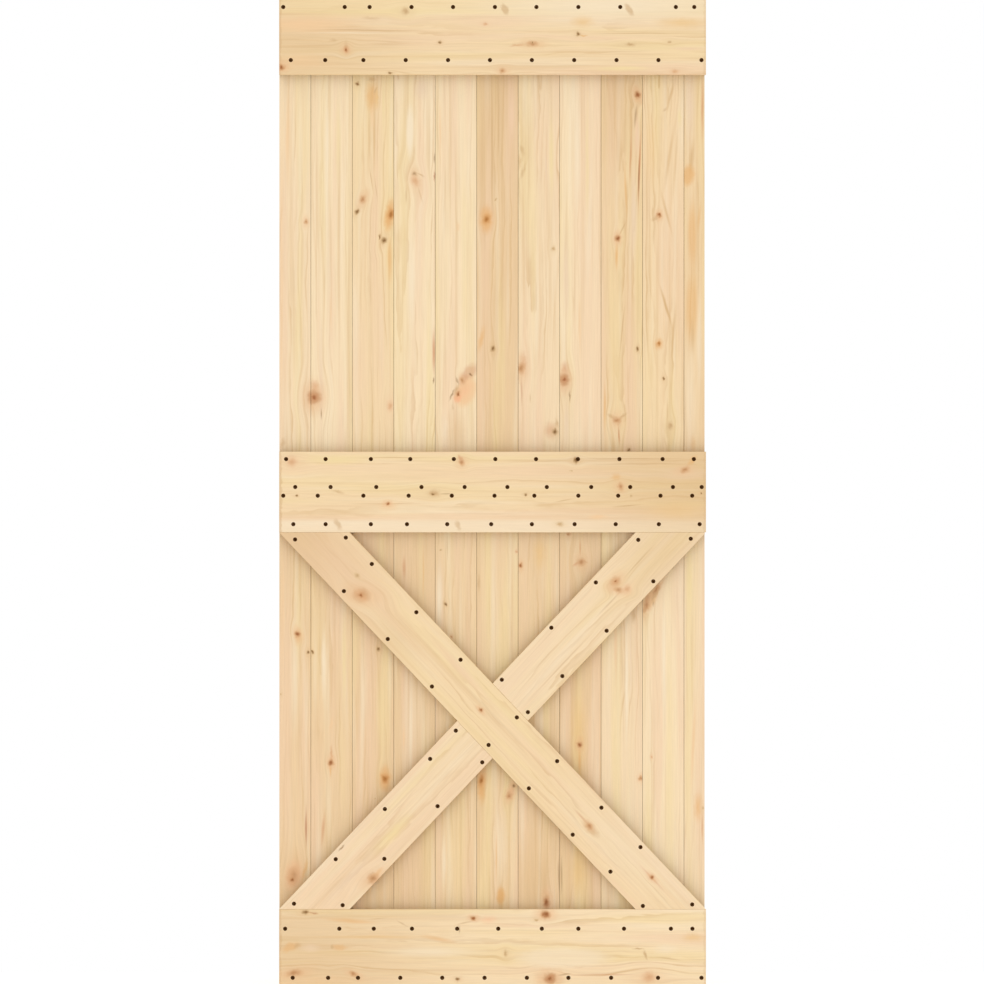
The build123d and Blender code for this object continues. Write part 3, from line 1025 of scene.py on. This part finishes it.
LOWER_BOARDS = (
    pine(
        Tone.AMBER, STRAIGHT,
        Tint.LATEWOOD.at((28, 190, 330, 90, 0.24)),
        Tint.MILK.at((32, 660, 340, 26, 0.6)),
        Tint.FLAME.at((39, 742, 50, 22, 0.4)),
        Tint.APRICOT.at((8, 800, 300, 12)),
        Tint.BRICK.at((57, 342, 120, 8, 0.7)),
        Tint.FLAME.at((53, 250, 70, 12, 0.7, 15)),
        Tint.CORAL.at((31, 240, 84, 50, 0.7, 10)),
        KnotLook.RED.at((39, 750, 15, 13, -20)),
        KnotLook.PIN.at((61, 712, 9, 7)),
        KnotLook.FAINT.at((4, 623, 8, 5)),
        KnotLook.TAWNY.at((29, 239, 42, 26, 10)),
        KnotLook.RED.at((27, 232, 12, 9)),
    ),
    pine(
        Tone.AMBER, WAVY,
        Tint.MILK.at((94, 690, 220, 16, 0.8)),
        Tint.LEMON.at((137, 700, 300, 14, 0.6)),
        Tint.APRICOT.at((110, 560, 60, 10, 0.6, 12)),
        Tint.RUST.at((110, 498, 50, 9), (92, 338, 100, 10, 0.5, 4)),
        Tint.FLAME.at((108, 462, 40, 8, 0.6)),
        Tint.MILK.at((104, 390, 200, 18, 0.35)),
        KnotLook.PIN.at((69, 712, 8, 6)),
        KnotLook.RED.at((109, 479, 14, 12)),
    ),
    pine(
        Tone.TOAST, STRAIGHT,
        Tint.FLAME.at((223, 443, 70, 30, 0.6)),
        Tint.LEMON.at((212, 600, 260, 26, 0.4)),
        KnotLook.PIN.at((209, 719, 9, 9)),
        KnotLook.FLAMED.at((223, 445, 22, 17)),
        KnotLook.FAINT.at((202, 404, 4, 3)),
    ),
    pine(
        Tone.TOAST, QUARTERED,
        Tint.RUST.at((263, 890, 70, 10)),
        Tint.APRICOT.at((263, 530, 80, 10, 0.7)),
        Tint.MILK.at((277, 550, 260, 10)),
        Tint.FLAME.at((304, 880, 160, 6, 0.4)),
    ),
    pine(
        Tone.HONEY, STRAIGHT,
        Tint.MILK.at((338, 820, 220, 20, 0.85), (347, 270, 180, 15, 0.7)),
        Tint.TAN.at((355, 935, 90, 4)),
        KnotLook.PIN.at((351, 813, 8, 7)),
        KnotLook.FAINT.at((340, 927, 6, 5)),
        KnotLook.TAWNY.at((364, 744, 7, 6)),
    ),
    pine(
        Tone.HONEY, STRAIGHT,
        Tint.TAN.at((421, 858, 56, 10, 0.6)),
        Tint.FLAME.at((427, 425, 100, 24, 0.8)),
        Tint.CORAL.at((490, 420, 64, 22, 0.5, 10)),
        Tint.MILK.at((466, 300, 260, 50)),
        Tint.FLAME.at((458, 280, 140, 6), (467, 197, 56, 24, 0.8, 0, 0.7)),
        KnotLook.FLAMED.at((426, 441, 26, 13, 8)),
        KnotLook.PIN.at((494, 429, 8, 7)),
        KnotLook.TAWNY.at((485, 409, 19, 14, 20)),
        KnotLook.ROSY.at((501, 925, 9, 7)),
    ),
    pine(
        Tone.AMBER, STRAIGHT,
        Tint.LATEWOOD.at((536, 235, 320, 110, 0.36), (560, 230, 150, 30, 0.35)),
        Tint.AMBER.at((550, 920, 110, 40, 0.6)),
        Tint.UMBER.at((590, 240, 110, 7)),
        KnotLook.RED.at((509, 895, 12, 9), (564, 184, 28, 15)),
    ),
    pine(
        Tone.TOAST, STRAIGHT,
        Tint.RUST.at((635, 932, 52, 5, 0.6), (627, 898, 26, 8, 0.6, 55), (645, 904, 22, 7, 0.5, -65)),
        Tint.AMBER.at((632, 540, 260, 50, 0.6)),
        Tint.FLAME.at((634, 480, 90, 10, 0.7)),
        Tint.UMBER.at((596, 240, 110, 7)),
        Tint.AMBER.at((630, 250, 160, 60, 0.6)),
        KnotLook.TAWNY.at((610, 961, 11, 10), (637, 902, 18, 18)),
        KnotLook.RED.at((634, 517, 14, 12)),
    ),
    pine(
        Tone.PALE, STRAIGHT,
        Tint.TAN.at((748, 790, 44, 16, 0.6)),
        Tint.APRICOT.at((710, 720, 170, 12, 0.7)),
        Tint.MILK.at((733, 650, 360, 12, 0.9)),
        Tint.LILAC.at((742, 700, 300, 6, 0.7)),
        KnotLook.TAWNY.at((762, 446, 10, 9)),
    ),
    pine(
        Tone.CREAM, QUARTERED,
        Tint.FLAME.at((784, 826, 90, 34, 0.6, 24, 0.8)),
        Tint.BRICK.at((778, 826, 30, 16, 0.35, 20)),
        Tint.TAN.at((794, 838, 44, 14, 0.9, 30, 0.6), (771, 803, 26, 12, 0.9, 8, 0.6)),
        Tint.UMBER.at((789, 813, 16, 4)),
        Tint.MILK.at((812, 690, 360, 10, 0.7)),
        KnotLook.TAWNY.at((775, 812, 34, 13, 12), (796, 845, 30, 9, 30)),
        KnotLook.ROSY.at((786, 491, 7, 6)),
    ),
    pine(
        Tone.PALE, QUARTERED,
        Tint.LEMON.at((866, 860, 190, 22, 0.7)),
        Tint.APRICOT.at((874, 520, 260, 12, 0.8, 3)),
        Tint.FLAME.at((884, 385, 90, 26, 0.6)),
        Tint.RUST.at((893, 340, 90, 5)),
        KnotLook.FAINT.at((894, 382, 8, 5)),
    ),
)

RAILS = {
    "top_rail": pine(
        Tone.STRAW, Figure(depth=55.0, aside=40.0, lean=0.012, spacing=5.5, contrast=0.5),
        Tint.LATEWOOD.at((40, 1985, 660, 300, 0.38)),
        Tint.LEMON.at((450, 2085, 9000, 60, 0.35, 0.4, 0.15), (720, 1943, 190, 16, 0.8)),
        Tint.MILK.at((700, 2075, 900, 120, 0.8)),
        Tint.APRICOT.at((50, 2036, 330, 56, 0.9), (40, 1960, 220, 50, 0.55)),
        Tint.TAN.at((194, 2049, 60, 10, 0.4)),
        Tint.ROSE.at((450, 2040, 260, 40)),
        Tint.TAN.at((180, 2024, 300, 4, 0.7)),
        Tint.MILK.at((150, 2018, 330, 5)),
        Tint.TAN.at(
            (230, 1995, 120, 8, 0.35), (141, 1987, 18, 40), (115, 2003, 24, 8, 0.5, -10),
            (476, 2068, 34, 18, 0.6, 66, 0.6), (738, 2067, 36, 17, 0.6, 60, 0.6),
        ),
        Tint.RUST.at((502, 1992, 44, 8, 0.5, -6)),
        Tint.FLAME.at((640, 2012, 26, 6, 0.7)),
        Tint.AMBER.at((640, 2042, 70, 34, 0.6)),
        Tint.TAN.at((760, 2017, 290, 4, 0.6)),
        Tint.AMBER.at((850, 2040, 150, 34, 0.6)),
        Tint.ROSE.at((860, 1985, 110, 12, 0.6)),
        RAIL_ENDS,
        KnotLook.TAWNY.at((141, 1984, 12, 18), (534, 1995, 28, 14), (471, 1938, 14, 12)),
        KnotLook.RED.at((141, 1982, 7, 10), (5, 1945, 14, 15)),
        KnotLook.PIN.at((339, 1998, 8, 7), (534, 1998, 5, 5), (630, 2016, 10, 10), (235, 1934, 8, 6)),
        KnotLook.FAINT.at((823, 1999, 9, 8), (267, 2064, 18, 20), (740, 1994, 24, 9)),
        KnotLook.ROSY.at((835, 1936, 22, 12), (434, 2037, 12, 9)),
    ),
    "middle_rail": pine(
        Tone.STRAW, Figure(depth=60.0, aside=-50.0, spacing=5.5, contrast=0.45),
        Tint.MILK.at((450, 976, 9000, 40, 0.6, 0, 0.5)),
        Tint.LATEWOOD.at((900, 1075, 900, 420, 0.55)),
        Tint.LEMON.at((120, 1117, 210, 30, 0.8)),
        Tint.RUST.at((382, 1122, 24, 14, 0.7, 60)),
        Tint.TAN.at((124, 1051, 38, 10, 0.6, 15)),
        Tint.UMBER.at((352, 1046, 46, 5)),
        Tint.TAN.at(
            (229, 1025, 180, 4, 0.6), (124, 981, 38, 17, 0.55, 60, 0.8), (377, 980, 32, 15, 0.5, 70, 0.8),
            (735, 1120, 340, 4, 0.7), (250, 1122, 240, 4, 0.6), (770, 1109, 300, 4, 0.6),
            (600, 1032, 60, 4, 0.6, -10), (735, 1022, 80, 4, 0.7, -4),
        ),
        Tint.APRICOT.at((229, 1020, 60, 30, 0.6), (672, 998, 60, 16, 0.9)),
        Tint.FLAME.at((710, 1082, 30, 22), (871, 1116, 40, 16, 0.7, -50)),
        Tint.AMBER.at((840, 1012, 200, 54, 0.4)),
        Tint.ROSE.at((860, 1088, 150, 40, 0.35)),
        RAIL_ENDS,
        KnotLook.ROSY.at((27, 1114, 26, 26)),
        KnotLook.TAWNY.at((385, 1113, 12, 20, -20), (856, 1097, 22, 15, -10)),
        KnotLook.FAINT.at((326, 1047, 30, 18), (592, 982, 16, 11)),
        KnotLook.PIN.at(
            (325, 1045, 8, 6), (36, 1042, 7, 6), (626, 1117, 11, 15), (520, 1045, 8, 7),
            (889, 1048, 5, 6),
        ),
        KnotLook.RED.at((229, 1026, 9, 9)),
        KnotLook.TAWNY.at((720, 1061, 14, 20, -20)),
        KnotLook.FAINT.at((615, 1094, 4, 4), (743, 1041, 6, 6)),
    ),
    "bottom_rail": pine(
        Tone.CREAM, Figure(depth=50.0, aside=35.0, lean=0.014, spacing=5.5, contrast=0.6),
        Tint.LATEWOOD.at((40, 80, 840, 500, 0.45), (330, 155, 640, 34, 0.28)),
        Tint.APRICOT.at((60, 18, 420, 44, 0.4)),
        Tint.BRICK.at((72, 162, 34, 6, 0.6, 8)),
        Tint.FLAME.at((152, 146, 150, 15, 0.5, 4)),
        Tint.CORAL.at((440, 148, 56, 24, 0.35)),
        Tint.FLAME.at((338, 107, 100, 15, 0.45, 10)),
        Tint.AMBER.at((200, 112, 320, 12, 0.4)),
        Tint.UMBER.at((379, 128, 8, 24)),
        Tint.FLAME.at((24, 90, 52, 26, 0.5, -18, 0.7)),
        Tint.LILAC.at((66, 88, 60, 26, 0.6)),
        Tint.TAN.at((38, 93, 24, 16, 0.5, -25)),
        Tint.FLAME.at((127, 90, 44, 18, 0.45, 0, 0.7)),
        Tint.TAN.at(
            (112, 91, 12, 12), (259, 140, 38, 6, 0.5, 30), (391, 141, 50, 5, 0.5, -10),
            (206, 151, 60, 5, 0.4, -4),
        ),
        Tint.MILK.at((320, 80, 320, 34, 0.8), (597, 68, 250, 54, 0.7, 0, 0.5)),
        Tint.UMBER.at((602, 33, 44, 6, 0.5, -8)),
        Tint.RUST.at((690, 33, 170, 6, 0.45)),
        Tint.TAN.at((757, 87, 36, 6, 0.8), (772, 74, 30, 9, 0.8, 70)),
        Tint.MILK.at((815, 86, 70, 30, 0.6)),
        Tint.AMBER.at((872, 110, 70, 30, 0.6)),
        Tint.TAN.at((823, 66, 70, 6, 0.45, 8)),
        RAIL_ENDS,
        KnotLook.RED.at((409, 151, 11, 10), (562, 159, 21, 19)),
        KnotLook.PIN.at((55, 164, 16, 10), (376, 23, 11, 9)),
        KnotLook.TAWNY.at((31, 36, 38, 17, -8), (157, 34, 20, 12, 20)),
        KnotLook.FAINT.at((542, 148, 11, 7), (478, 77, 9, 17)),
        KnotLook.SOUND.at((571, 24, 27, 24)),
        KnotLook.ROSY.at((780, 27, 36, 27)),
    ),
}

BRACES = {
    "long_brace": pine(
        Tone.STRAW, Figure(depth=55.0, aside=30.0, lean=0.012, spacing=5.0, contrast=0.5, hue=0.8),
        Tint.LATEWOOD.at((60, 950, 620, 220, 0.6)),
        Tint.ROSE.at((140, 880, 420, 200), (380, 680, 220, 30)),
        Tint.MILK.at((720, 300, 500, 150, 0.4)),
        Tint.TAN.at((657, 340, 60, 26, 0.6, 0, 0.8)),
        Tint.RUST.at((640, 362, 70, 8, 0.4), (786, 237, 100, 7, 0.4)),
        Tint.LATEWOOD.at((250, 740, 220, 120, 0.25)),
        KnotLook.TAWNY.at((173, 833, 38, 30, -40), (654, 345, 16, 13)),
        KnotLook.RED.at((172, 832, 13, 11), (425, 590, 11, 8), (786, 237, 12, 10)),
        KnotLook.FAINT.at((165, 874, 16, 11)),
    ),
    "upper_half_brace": pine(
        Tone.PALE, BRACE_CUT,
        Tint.LATEWOOD.at((820, 940, 460, 200, 0.35)),
        Tint.TAN.at((700, 820, 130, 6, 0.45), (760, 905, 130, 5), (600, 690, 220, 5, 0.45)),
        KnotLook.TAWNY.at((709, 861, 24, 22)),
        KnotLook.RED.at((709, 862, 8, 7)),
        KnotLook.TAWNY.at((716, 843, 22, 14, 60)),
        KnotLook.ROSY.at((734, 846, 22, 17)),
    ),
    "lower_half_brace": pine(
        Tone.PALE, BRACE_CUT,
        Tint.UMBER.at((132, 300, 24, 7, 0.8)),
        Tint.FLAME.at((206, 245, 50, 16, 0.6)),
        Tint.LEMON.at((240, 330, 160, 34, 0.8)),
        Tint.LILAC.at((150, 240, 200, 24, 0.6)),
        KnotLook.TAWNY.at((198, 235, 28, 24, 20)),
    ),
}


def brace_slope(foot_rail: str, head_rail: str) -> float:
    """Works out how steeply the braces climb, from their width and the field that they cross.

    Args:
        foot_rail: The rail under the field.
        head_rail: The rail over it.

    Returns:
        The climb from the leaf's X axis, in degrees.
    """
    low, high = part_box(foot_rail)
    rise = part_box(head_rail)[0].z - high.z
    run = high.x - low.x
    return math.degrees(math.atan2(rise, run) + math.asin(BRACE_WIDTH / math.hypot(rise, run)))


@dataclass
class ScrewRows:
    """The black countersunk screws, one group for each piece that they hold.

    Attributes:
        head_radius: The head's radius.
        rim_height: How far the head's edge stands above the wood.
        sink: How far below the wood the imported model's heads lie.
        shank_radius: The shank's radius.
        length: From the head's top to the point.
        tip: The length of the point.
        slot_length: The length of the cross slot in the head.
        slot_width: Its width.
        slot_depth: Its depth.
        groups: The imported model's groups of screws.
    """

    head_radius: float = 4.47 * MILLIMETRE
    rim_height: float = 0.06 * MILLIMETRE
    sink: float = 0.3 * MILLIMETRE
    shank_radius: float = 2.0 * MILLIMETRE
    length: float = 30.0 * MILLIMETRE
    tip: float = 4.0 * MILLIMETRE
    slot_length: float = 4.6 * MILLIMETRE
    slot_width: float = 1.1 * MILLIMETRE
    slot_depth: float = 1.8 * MILLIMETRE
    groups: tuple[str, ...] = (
        "top_rail_screws",
        "middle_rail_screws",
        "bottom_rail_screws",
        "long_brace_screws",
        "upper_half_brace_screws",
        "lower_half_brace_screws",
    )

    SIDES = 20
    BLANK = 0.25 * MILLIMETRE
    CROWN_SHARE = 0.94
    POINT_SHARE = 0.08
    FACING_DOWN = -0.9
    SPIN_SEED = 7
    MOTTLES_PER_METRE = 900.0
    # How deep a head's top reaches, and how many head radii apart its corners lie at most.
    TOP_DEPTH = 0.1 * MILLIMETRE
    ONE_HEAD = 2.5

    def places(self, frame: dict, name: str) -> list[Vector]:
        """Finds where a group's screws stand.

        Args:
            frame: The loaded frame.
            name: The group's node.

        Returns:
            The middle of each head's top.
        """
        vertices = frame["nodes"][name].data.vertices
        corners = {tuple(round(part, 6) for part in vertex.co) for vertex in vertices}
        front = min(corner[1] for corner in corners)
        tops = sorted(corner for corner in corners if corner[1] < front + self.TOP_DEPTH)
        heads: list[list[Vector]] = []
        for corner in map(Vector, tops):
            near = [head for head in heads if (head[0] - corner).length < self.ONE_HEAD * self.head_radius]
            if near:
                near[0].append(corner)
            else:
                heads.append([corner])
        return [sum(head, Vector()) / len(head) for head in heads]

    def finish(self) -> bpy.types.Material:
        """Makes the black oxide on the screws, mottled a little in colour and gloss.

        Returns:
            The material.
        """
        material, tree = start_material("black_oxide")
        where = tree.add("ShaderNodeTexCoord").outputs["Object"]
        mottle = tree.noise(tree.scale(where, self.MOTTLES_PER_METRE), 4.0)
        inputs = {
            "Base Color": tree.blend(tree.ramp(mottle, 0.35, 0.7), srgb(60, 32, 3), srgb(80, 47, 10)),
            "Roughness": tree.ramp(mottle, 0.3, 0.7, 0.42, 0.62),
            "Specular IOR Level": 0.08,
        }
        tree.surface(mottle, 0.3, 0.05 * MILLIMETRE, inputs)
        return material

    def draw_out(
        self, tree: Tree, mesh: object, faces: object, reach: object, share: object
    ) -> tuple[bpy.types.NodeSocket, bpy.types.NodeSocket]:
        """Draws faces out of a mesh and makes them smaller.

        Args:
            tree: The tree of the screw.
            mesh: The mesh.
            faces: The faces that are drawn out.
            reach: How far they go.
            share: How large they are afterwards, against their size before.

        Returns:
            The mesh, and the faces at the end.
        """
        inputs = {"Mesh": mesh, "Selection": faces, "Offset Scale": reach}
        longer = tree.add("GeometryNodeExtrudeMesh", inputs).outputs
        inputs = {"Geometry": longer["Mesh"], "Selection": longer["Top"], "Scale": share}
        return tree.add("GeometryNodeScaleElements", inputs).outputs["Geometry"], longer["Top"]

    def build_screw(self, tree: Tree, given: dict) -> bpy.types.NodeSocket:
        """Builds one screw that points down, with its head's top at the height of the wood's face.

        Args:
            tree: The tree of the screw.
            given: The tree's inputs, by name.

        Returns:
            The screw's mesh.
        """
        inputs = {"Vertices": self.SIDES, "Radius": given["Head Radius"], "Depth": self.BLANK}
        blank = tree.add("GeometryNodeMeshCylinder", inputs).outputs
        crown = (given["Rim Height"], self.CROWN_SHARE)
        shape, _ = self.draw_out(tree, blank["Mesh"], blank["Top"], *crown)
        facing = tree.add("GeometryNodeInputNormal").outputs[0]
        upright = tree.add("ShaderNodeSeparateXYZ", {0: facing}).outputs["Z"]
        faces = tree.math("LESS_THAN", upright, self.FACING_DOWN)
        drop = tree.math("SUBTRACT", given["Head Radius"], given["Shank Radius"])
        rest = tree.math("SUBTRACT", tree.math("SUBTRACT", given["Length"], drop), given["Tip"])
        slimmer = tree.math("DIVIDE", given["Shank Radius"], given["Head Radius"])
        for reach, share in ((drop, slimmer), (rest, 1.0), (given["Tip"], self.POINT_SHARE)):
            shape, faces = self.draw_out(tree, shape, faces, reach, share)

        deep = tree.math("MULTIPLY", given["Slot Depth"], 2.0)
        cross = tree.add("GeometryNodeMeshBoolean", operation="UNION", solver="EXACT")
        for across, along in (("Slot Length", "Slot Width"), ("Slot Width", "Slot Length")):
            size = tree.add("ShaderNodeCombineXYZ", {0: given[across], 1: given[along], 2: deep})
            bar = tree.add("GeometryNodeMeshCube", {"Size": size.outputs[0]})
            tree.feed(cross.inputs["Mesh 2"], bar.outputs["Mesh"])
        inputs = {"Mesh 1": shape, "Mesh 2": cross.outputs["Mesh"]}
        slotted = tree.add("GeometryNodeMeshBoolean", inputs, operation="DIFFERENCE", solver="EXACT")
        lift = tree.add("ShaderNodeCombineXYZ", {2: tree.math("SUBTRACT", given["Sink"], self.BLANK / 2)})
        inputs = {0: slotted.outputs["Mesh"], "Translation": lift.outputs[0]}
        return tree.add("GeometryNodeTransform", inputs).outputs[0]

    def build_tree(self, sizes: Iterable[str]) -> bpy.types.NodeTree:
        """Builds the Geometry Nodes that put a screw at each point of a mesh.

        Args:
            sizes: The names of the screw's sizes, which become the tree's inputs.

        Returns:
            The tree.
        """
        group = bpy.data.node_groups.new("screw_rows", "GeometryNodeTree")
        face = group.interface
        face.new_socket("Geometry", in_out="OUTPUT", socket_type="NodeSocketGeometry")
        kinds = {"Geometry": "Geometry", **dict.fromkeys(sizes, "Float"), "Material": "Material"}
        for label, kind in kinds.items():
            face.new_socket(label, in_out="INPUT", socket_type=f"NodeSocket{kind}")
        tree = Tree(group)
        given = tree.add("NodeGroupInput").outputs
        inputs = {
            "Points": given["Geometry"],
            "Instance": self.build_screw(tree, given),
            "Rotation": (math.radians(90), 0.0, 0.0),
        }
        rows = tree.add("GeometryNodeInstanceOnPoints", inputs)
        inputs = {0: (0.0, 0.0, 0.0), 1: (0.0, 0.0, math.tau), "Seed": self.SPIN_SEED}
        spin = tree.add("FunctionNodeRandomValue", inputs, data_type="FLOAT_VECTOR")
        inputs = {"Instances": rows.outputs[0], "Rotation": spin.outputs[0], "Local Space": True}
        turned = tree.add("GeometryNodeRotateInstances", inputs)
        real = tree.add("GeometryNodeRealizeInstances", {"Geometry": turned.outputs[0]})
        inputs = {0: real.outputs[0], "Material": given["Material"]}
        black = tree.add("GeometryNodeSetMaterial", inputs)
        tree.add("NodeGroupOutput", {0: black.outputs[0]})
        return group

    def build(self, frame: dict) -> list[str]:
        """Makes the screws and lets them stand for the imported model's own.

        Args:
            frame: The loaded frame.

        Returns:
            The names of the new pieces.
        """
        sizes = {
            "Head Radius": self.head_radius,
            "Rim Height": self.rim_height,
            "Shank Radius": self.shank_radius,
            "Length": self.length,
            "Tip": self.tip,
            "Slot Length": self.slot_length,
            "Slot Width": self.slot_width,
            "Slot Depth": self.slot_depth,
            "Sink": self.sink,
        }
        group = self.build_tree(sizes)
        values = {**sizes, "Material": self.finish()}
        made = []
        for name in self.groups:
            points = bpy.data.meshes.new(f"{name}_points")
            points.from_pydata(self.places(frame, name), [], [])
            piece = bpy.data.objects.new(f"cross_{name}", points)
            bpy.context.scene.collection.objects.link(piece)
            modifier = piece.modifiers.new("screws", "NODES")
            modifier.node_group = group
            for item in group.interface.items_tree:
                if item.in_out == "INPUT" and item.name in values:
                    modifier[item.identifier] = values[item.name]
            shown = piece.evaluated_get(bpy.context.evaluated_depsgraph_get())
            mesh = bpy.data.meshes.new_from_object(shown)
            piece.modifiers.remove(modifier)
            piece.data = mesh
            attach(piece, "root")
            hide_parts(name)
            made.append(piece.name)
        return made


@dataclass
class Studio:
    """A white studio with a pale floor, and a camera far in front of the leaf.

    Attributes:
        lens: The camera's focal length in millimetres.
        sensor: The camera's sensor width in millimetres.
        eye: Where the camera stands.
        far: How far the camera sees.
        floor_width: The floor's width.
        floor_front: Y of the floor's front edge.
        floor_back: Y of its back edge, near enough behind the leaf to stay out of the picture.
        floor_glow: How strongly the floor shines by itself, so that it comes out white.
    """

    lens: float = 300.0
    sensor: float = 36.0
    eye: Triple = (-0.0012, -17.308, 1.05)
    far: float = 100.0
    floor_width: float = 9.0
    floor_front: float = -4.5
    floor_back: float = 0.6
    floor_glow: float = 0.1

    WHITE = (1.0, 1.0, 1.0, 1.0)

    def build(self) -> None:
        """Makes the floor, the light and the camera."""
        self.build_floor()
        self.build_light()
        self.build_camera()

    def build_floor(self) -> None:
        """Lays a plain white floor under the leaf."""
        half = self.floor_width / 2
        mesh = bpy.data.meshes.new("floor")
        front = [(-half, self.floor_front, 0.0), (half, self.floor_front, 0.0)]
        back = [(half, self.floor_back, 0.0), (-half, self.floor_back, 0.0)]
        mesh.from_pydata(front + back, [], [(0, 1, 2, 3)])
        floor = bpy.data.objects.new("floor", mesh)
        bpy.context.scene.collection.objects.link(floor)
        material = bpy.data.materials.new("floor_white")
        material.use_nodes = True
        shader = material.node_tree.nodes["Principled BSDF"]
        shader.inputs["Base Color"].default_value = self.WHITE
        shader.inputs["Roughness"].default_value = 0.9
        shader.inputs["Specular IOR Level"].default_value = 0.0
        shader.inputs["Emission Color"].default_value = self.WHITE
        shader.inputs["Emission Strength"].default_value = self.floor_glow
        mesh.materials.append(material)
        floor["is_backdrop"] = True

    def build_light(self) -> None:
        """Lights the leaf evenly from all round."""
        world = bpy.data.worlds.new("studio")
        world.use_nodes = True
        background = world.node_tree.nodes["Background"]
        background.inputs["Color"].default_value = self.WHITE
        background.inputs["Strength"].default_value = 1.0
        scene = bpy.context.scene
        scene.world = world
        scene.view_settings.view_transform = "Standard"

    def build_camera(self) -> None:
        """Sets the camera square to the leaf, as far off as the picture was taken from."""
        data = bpy.data.cameras.new("camera")
        data.lens = self.lens
        data.sensor_width = self.sensor
        data.clip_end = self.far
        camera = bpy.data.objects.new("camera", data)
        camera.location = self.eye
        camera.rotation_euler = (math.radians(90), 0.0, 0.0)
        bpy.context.scene.collection.objects.link(camera)
        bpy.context.scene.camera = camera


def corners(box: tuple[Vector, Vector]) -> list[list[float]]:
    """Turns a box into plain lists of numbers."""
    return [[float(part) for part in corner] for corner in box]


def main() -> None:
    """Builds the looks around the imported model, piece by piece."""
    logging.basicConfig(level=logging.INFO, format="%(name)s: %(message)s")
    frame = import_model()
    model_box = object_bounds()
    left = model_box[0].x / MILLIMETRE

    nodes = GrainNodes()
    slope = brace_slope("bottom_rail", "middle_rail")
    panel = {**boards("upper", UPPER_BOARDS), **boards("lower", LOWER_BOARDS)}
    climbs = {"long_brace": -slope, "upper_half_brace": slope, "lower_half_brace": slope}
    families = (
        WoodenPieces("board_pine", panel, dict.fromkeys(panel, 90.0), recessed=True),
        WoodenPieces("rail_pine", RAILS, dict.fromkeys(RAILS, 0.0)),
        WoodenPieces("brace_pine", BRACES, climbs),
    )
    seed = 1
    for family in families:
        for name in family.dress(frame, nodes, left, seed):
            log.info("dressed %s", name)
        seed += len(family.finishes)
    for name in ScrewRows().build(frame):
        log.info("made %s", name)
    Studio().build()


if __name__ == "__main__":
    main()
